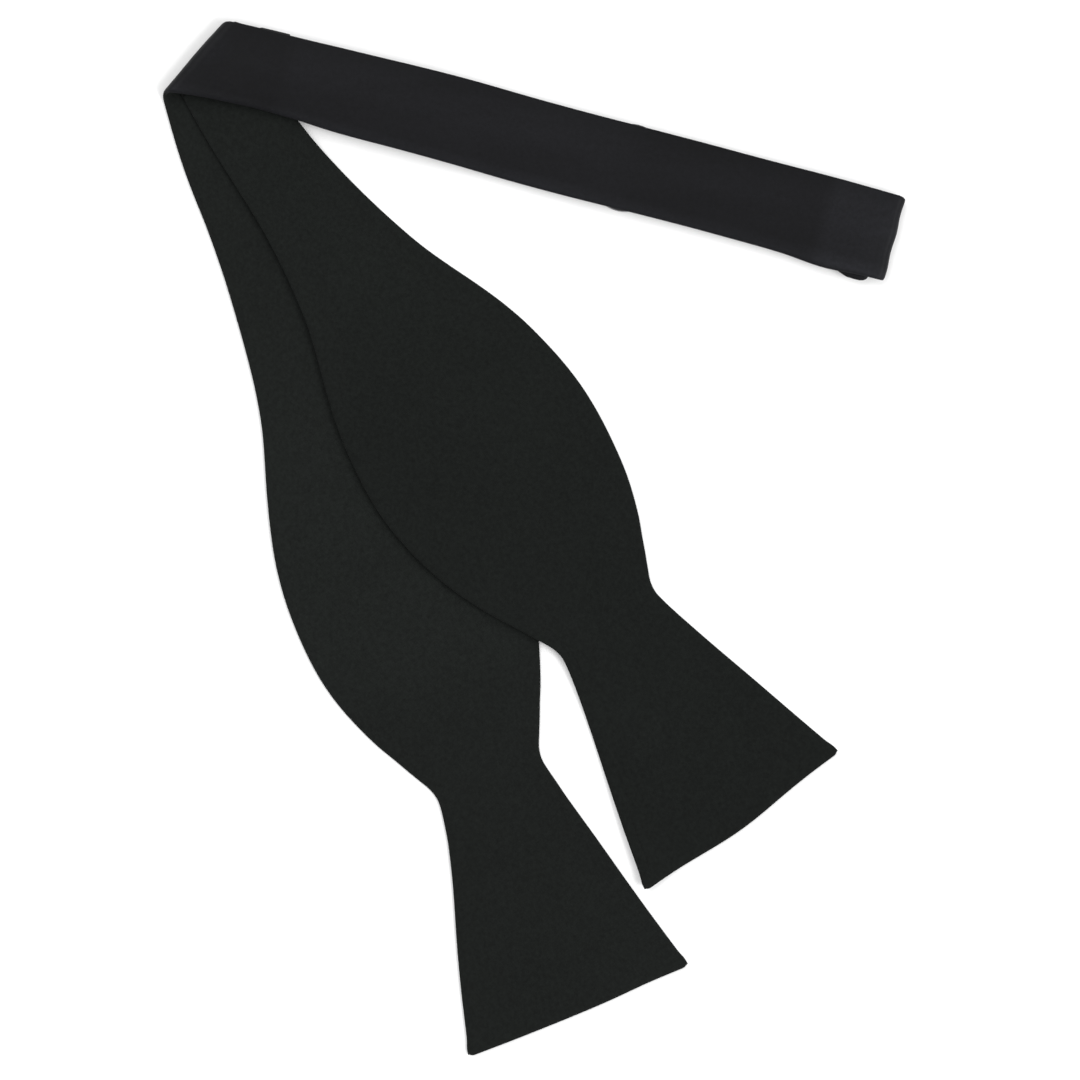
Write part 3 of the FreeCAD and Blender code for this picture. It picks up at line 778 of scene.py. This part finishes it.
def fabric(name, low, high, angle, roughness, sheen, weave=0.32, cord=None, strength=0.25,
           specular=0.2, patch=35.0, grain=1.2, streak=0.0, painted_light_tones=()):
    """Woven cloth: warp and weft as crossed bands, uneven yarns, slow colour drift, and painted
    light and shade from the given tone ramps.
    """
    n = Nodes(name)
    fine = coordinates(n, angle, (1.0 / MM,) * 3)
    warp = n.add("ShaderNodeTexWave", wave_type="BANDS", bands_direction="X")
    warp.inputs["Scale"].default_value = 0.314 / (cord or weave)
    warp.inputs["Distortion"].default_value = 0.4
    warp.inputs["Detail"].default_value = 1.0
    weft = n.add("ShaderNodeTexWave", wave_type="BANDS", bands_direction="Y")
    weft.inputs["Scale"].default_value = 0.314 / weave
    weft.inputs["Distortion"].default_value = 0.5
    weft.inputs["Detail"].default_value = 1.0
    slub = n.add("ShaderNodeTexNoise")
    slub.inputs["Scale"].default_value = 2.2
    slub.inputs["Detail"].default_value = 4.0
    drift = n.add("ShaderNodeTexNoise")
    drift.inputs["Scale"].default_value = 1.0 / patch
    drift.inputs["Detail"].default_value = 2.0
    for node in (warp, weft, slub, drift):
        n.link(fine, node.inputs["Vector"])
    fleck = n.add("ShaderNodeTexNoise")
    fleck.inputs["Scale"].default_value = 1.0
    fleck.inputs["Detail"].default_value = 3.0
    fleck.inputs["Roughness"].default_value = 0.7
    n.link(fine, fleck.inputs["Vector"])
    long_way = n.add("ShaderNodeTexNoise")
    long_way.inputs["Scale"].default_value = 1.0
    long_way.inputs["Detail"].default_value = 2.0
    n.link(coordinates(n, angle, (0.012 / MM, 0.16 / MM, 0.16 / MM)), long_way.inputs["Vector"])
    cross = n.add("ShaderNodeMath", operation="MULTIPLY")
    n.link(warp.outputs["Fac"], cross.inputs[0])
    n.link(weft.outputs["Fac"], cross.inputs[1])
    mixed = n.add("ShaderNodeMath", operation="MULTIPLY_ADD")
    mixed.inputs[1].default_value = 0.45
    n.link(slub.outputs["Fac"], mixed.inputs[0])
    n.link(cross.outputs[0], mixed.inputs[2])
    factor = n.add("ShaderNodeValue").outputs[0]
    factor.default_value = 1 - 0.5 * (grain + 0.3 + streak)
    for source, share in ((fleck, grain), (drift, 0.3), (long_way, streak)):
        add = n.add("ShaderNodeMath", operation="MULTIPLY_ADD")
        add.inputs[1].default_value = share
        n.link(source.outputs["Fac"], add.inputs[0])
        n.link(factor, add.inputs[2])
        factor = add.outputs[0]
    for degrees, start, stops in painted_light_tones:
        factor = paint_light_and_shade_along(n, factor, degrees, start, stops)
    tinted = n.add("ShaderNodeVectorMath", operation="SCALE")
    n.link(ramp(n, mixed.outputs[0], low, high, 0.25, 0.8), tinted.inputs[0])
    n.link(factor, tinted.inputs["Scale"])
    n.link(tinted.outputs["Vector"], n.shader.inputs["Base Color"])
    bump_node = n.add("ShaderNodeBump")
    bump_node.inputs["Strength"].default_value = strength
    bump_node.inputs["Distance"].default_value = 0.08 * MM
    n.link(mixed.outputs[0], bump_node.inputs["Height"])
    n.link(bump_node.outputs["Normal"], n.shader.inputs["Normal"])
    rough = n.add("ShaderNodeMapRange")
    rough.inputs["To Min"].default_value = roughness - 0.05
    rough.inputs["To Max"].default_value = min(1.0, roughness + 0.07)
    n.link(mixed.outputs[0], rough.inputs["Value"])
    n.link(rough.outputs["Result"], n.shader.inputs["Roughness"])
    n.set(Sheen_Weight=sheen, Sheen_Roughness=0.45, Specular_IOR_Level=specular)
    return n.material


def enamel(name, colour, roughness):
    n = Nodes(name)
    place = coordinates(n, 0, (1.0 / MM,) * 3)
    noise = n.add("ShaderNodeTexNoise")
    noise.inputs["Scale"].default_value = 1.6
    noise.inputs["Detail"].default_value = 5.0
    n.link(place, noise.inputs["Vector"])
    low = tuple(0.75 * c for c in colour)
    n.link(ramp(n, noise.outputs["Fac"], low, colour), n.shader.inputs["Base Color"])
    rough = n.add("ShaderNodeMapRange")
    rough.inputs["To Min"].default_value = roughness - 0.06
    rough.inputs["To Max"].default_value = roughness + 0.08
    n.link(noise.outputs["Fac"], rough.inputs["Value"])
    n.link(rough.outputs["Result"], n.shader.inputs["Roughness"])
    bump_node = n.add("ShaderNodeBump")
    bump_node.inputs["Strength"].default_value = 0.15
    bump_node.inputs["Distance"].default_value = 0.03 * MM
    n.link(noise.outputs["Fac"], bump_node.inputs["Height"])
    n.link(bump_node.outputs["Normal"], n.shader.inputs["Normal"])
    n.set(Metallic=0.0, Specular_IOR_Level=0.5, Coat_Weight=0.4, Coat_Roughness=0.2)
    return n.material


FACE_DARK, FACE_LIGHT = (0.0042, 0.0052, 0.0046), (0.0084, 0.0098, 0.0089)
SATIN_DARK, SATIN_LIGHT = (0.0035, 0.0036, 0.0044), (0.0063, 0.0065, 0.0078)
# the rear blade's tone ramp is painted light and shade: lighter across the middle, darker toward
# the flare end
rear_cloth = fabric("rear blade weave with painted light and shade", FACE_DARK, FACE_LIGHT, REAR_HEADING, 0.9, 0.04,
                    specular=0.12, grain=1.5,
                    painted_light_tones=[(REAR_HEADING, float(CORNER @ REAR.direction),
                            [(0, 0.98), (45, 1.0), (120, 1.12), (165, 1.1), (186, 0.92),
                             (250, 0.88), (268, 0.93)])])
# the front blade's weave is a darker copy of the rear's, and its tone ramp darkens toward the
# flare end: painted shade
front_cloth = fabric("front blade weave with painted shade", FACE_DARK, tuple(0.92 * c for c in FACE_LIGHT),
                     FRONT_HEADING, 0.9, 0.03, specular=0.11, grain=1.5,
                     painted_light_tones=[(FRONT_HEADING, float(CORNER @ FRONT.direction),
                             [(0, 1.02), (60, 1.02), (110, 0.93), (244, 0.91)])])
band_angle = math.degrees(math.atan2(BAND[1], BAND[0]))
fold_out_angle = math.degrees(math.atan2(FOLD_OUT[1], FOLD_OUT[0]))
# painted sheen and shade on the satin: darker near the corner, along the upper edge and on the
# strand below the lower edge, with painted highlights along the lower edge, along the middle, on
# the doubled end and on the diagonal fold
SATIN_PAINTED_SHEEN_AND_SHADE = (
    (band_angle, float(CORNER @ BAND),
     [(0, 0.8), (18, 0.78), (24, 1.02), (60, 1.05), (108, 1.12), (120, 0.95), (165, 0.95),
      (170, 1.55), (186, 1.65)]),
    (band_angle + 90, float(CORNER @ BAND_SIDE),
     [(-10.6, 0.6), (-9.3, 1.3), (-8.5, 1.55), (-7.2, 1.25), (-5.2, 0.9), (-1, 0.94),
      (4, 1.12), (8, 1.04), (12, 0.85)]),
    (fold_out_angle, float(FOLD_ORIGIN @ FOLD_OUT), [(-5, 1.0), (1, 1.3), (3, 1.5)]))
satin = fabric("band satin with painted sheen and shade", SATIN_DARK, SATIN_LIGHT, band_angle, 0.5, 0.03, weave=0.22,
               cord=0.16, strength=0.12, specular=0.09, patch=60, grain=1.0, streak=0.5,
               painted_light_tones=SATIN_PAINTED_SHEEN_AND_SHADE)
ribbon_cloth = fabric("ribbed strap ribbon", (0.0048, 0.0048, 0.0055),
                      (0.0088, 0.0088, 0.0096), band_angle, 0.7, 0.04, weave=1.6, cord=0.45,
                      strength=0.6, specular=0.12)
wool = fabric("wool interlining", (0.27, 0.26, 0.24), (0.42, 0.41, 0.38), 0, 0.95, 0.2,
              weave=0.9, strength=0.8)
label_cloth = fabric("label ribbon", (0.50, 0.48, 0.44), (0.66, 0.64, 0.60), band_angle, 0.5,
                     0.1, weave=0.25, strength=0.2)
sewing = fabric("sewing thread", (0.010, 0.010, 0.011), (0.020, 0.020, 0.022), 35, 0.6, 0.15,
                weave=0.18, strength=0.5)
black_enamel = enamel("black enamelled metal", (0.016, 0.016, 0.018), 0.36)


def dress(obj, material):
    obj.data.materials.clear()
    obj.data.materials.append(material)


for obj, material, slot in (
        (rear_back, satin, "band_satin"), (rear_face, rear_cloth, "face_cloth"),
        (front_back, satin, "face_cloth"), (front_face, front_cloth, "face_cloth"),
        (corner_back, satin, "face_cloth"), (corner_face, front_cloth, "face_cloth"),
        (rear_lining, wool, "interlining"), (front_lining, wool, "interlining"),
        (band_lining, wool, "interlining"), (rear_seam, rear_cloth, "face_cloth"),
        (front_seam, front_cloth, "face_cloth"), (strap, ribbon_cloth, "strap_cloth"),
        (strap_loop, ribbon_cloth, "strap_cloth"), (strap_return, ribbon_cloth, "strap_cloth"),
        (strap_wrap, ribbon_cloth, "strap_cloth"), (label, label_cloth, "label_cloth"),
        (join_tack, sewing, "thread"), (slide_tack, sewing, "thread"),
        (tail_tack, sewing, "thread"), (slide_metal, black_enamel, "hardware"),
        (hook_metal, black_enamel, "hardware"), (eye_metal, black_enamel, "hardware")):
    dress(obj, material)

# ---------------------------------------------------------------- bodies, baked pieces and hidden CAD parts
for obj, body in ((rear_lining, "rear_blade"), (rear_seam, "rear_blade"),
                  (band_lining, "neckband"), (front_lining, "front_blade"),
                  (front_seam, "front_blade"), (strap, "neckband"), (label, "neckband"),
                  (join_tack, "neckband"), (tail_tack, "neckband"), (eye_metal, "neckband"),
                  (slide_metal, "slide"), (strap_wrap, "slide"), (slide_tack, "slide"),
                  (hook_metal, "hook")):
    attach(obj, body)


def point(plan_xy, z):
    return (plan_xy[0] * MM, plan_xy[1] * MM, z * MM)


def rising(z0, z1, tilt, toward):
    """Two ends of a line that climbs from z0 to z1, leaning toward a plan direction."""
    start = np.array([*FOLD_ORIGIN, z0])
    end = start + (z1 - z0) * np.array([*(tilt * toward), 1.0])
    return point(start[:2], start[2]), point(end[:2], end[2])


for obj in (rear_back, rear_face):
    start, end = rising(1.35, 3.9, 0.05, heading(32))
    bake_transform(obj)
for obj, low, high in ((corner_back, 1.75, 3.45), (corner_face, 2.42, 2.78)):
    start, end = rising(low, high, 0.0, FOLD_OUT)
    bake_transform(obj)
for obj in (front_back, front_face):
    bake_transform(obj)
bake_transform(strap_loop)
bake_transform(strap_return)

for obj, nodes in (
        (rear_back, ["rear_blade_back", "neckband_back", "rear_corner_fold",
                     "neckband_end_fold"]),
        (rear_face, ["rear_blade_face", "neckband_face", "neckband_tail", "tail_turnback"]),
        (front_back, ["front_blade_back"]), (front_face, ["front_blade_face"]),
        (corner_back, ["front_corner_fold", "front_half_end"]),
        (corner_face, ["front_neck_tab"]),
        (rear_lining, ["rear_blade_interlining"]), (band_lining, ["neckband_interlining"]),
        (front_lining, ["front_blade_interlining"]), (rear_seam, ["rear_blade_edge_seam"]),
        (front_seam, ["front_blade_edge_seam"]), (strap, ["adjuster_strap"]),
        (strap_loop, ["strap_loop"]), (strap_return, ["strap_return"]),
        (strap_wrap, ["strap_end_wrap"]), (label, ["size_label"]),
        (join_tack, ["strap_join_stitches"]), (slide_tack, ["slide_bar_tack"]),
        (tail_tack, ["tail_bar_tack"]), (slide_metal, ["adjuster_slide"]),
        (hook_metal, ["hook"]), (eye_metal, ["eye_ring"])):
    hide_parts(*nodes)

# ---------------------------------------------------------------- stage
floor = new_object("studio_floor", [(-2500, -2500, 0), (2500, -2500, 0), (2500, 2500, 0),
                                    (-2500, 2500, 0)], [(0, 1, 2, 3)], False)
n = Nodes("pale floor")
n.set(Base_Color=(0.86, 0.86, 0.86, 1), Roughness=0.9, Specular_IOR_Level=0.1)
floor.data.materials.append(n.material)


def area_light(name, place, size, power):
    """A square light that faces the middle of the table."""
    data = bpy.data.lights.new(name, "AREA")
    data.shape = "SQUARE"
    data.size = size
    data.energy = power
    obj = bpy.data.objects.new(name, data)
    bpy.context.scene.collection.objects.link(obj)
    obj.location = place
    obj.rotation_euler = (-Vector(place)).to_track_quat("-Z", "Y").to_euler()


area_light("key", (1.1, -0.5, 1.3), 0.9, 21)
area_light("fill", (-0.8, 1.0, 1.5), 1.6, 20)

world = bpy.data.worlds.new("studio")
bpy.context.scene.world = world
world.use_nodes = True
background = world.node_tree.nodes["Background"]
background.inputs["Color"].default_value = (1, 1, 1, 1)
background.inputs["Strength"].default_value = 0.75

# the camera looks straight down on the middle of the tie
FRAME_WIDTH, FOCAL_LENGTH, SENSOR_WIDTH = 0.2848, 150, 36
CAMERA_RIGHT, CAMERA_DOWN, SUBJECT_HEIGHT = 87.60, 125.10, 0.002
camera_data = bpy.data.cameras.new("camera")
camera_data.lens = FOCAL_LENGTH
camera_data.sensor_width = SENSOR_WIDTH
camera = bpy.data.objects.new("camera", camera_data)
bpy.context.scene.collection.objects.link(camera)
camera.location = ((CORNER[0] + CAMERA_RIGHT) * MM, (CORNER[1] - CAMERA_DOWN) * MM,
                   FRAME_WIDTH / SENSOR_WIDTH * FOCAL_LENGTH + SUBJECT_HEIGHT)
bpy.context.scene.camera = camera
camera_data.clip_start = 0.01
bpy.context.scene.view_settings.view_transform = "Standard"

bpy.context.view_layer.update()
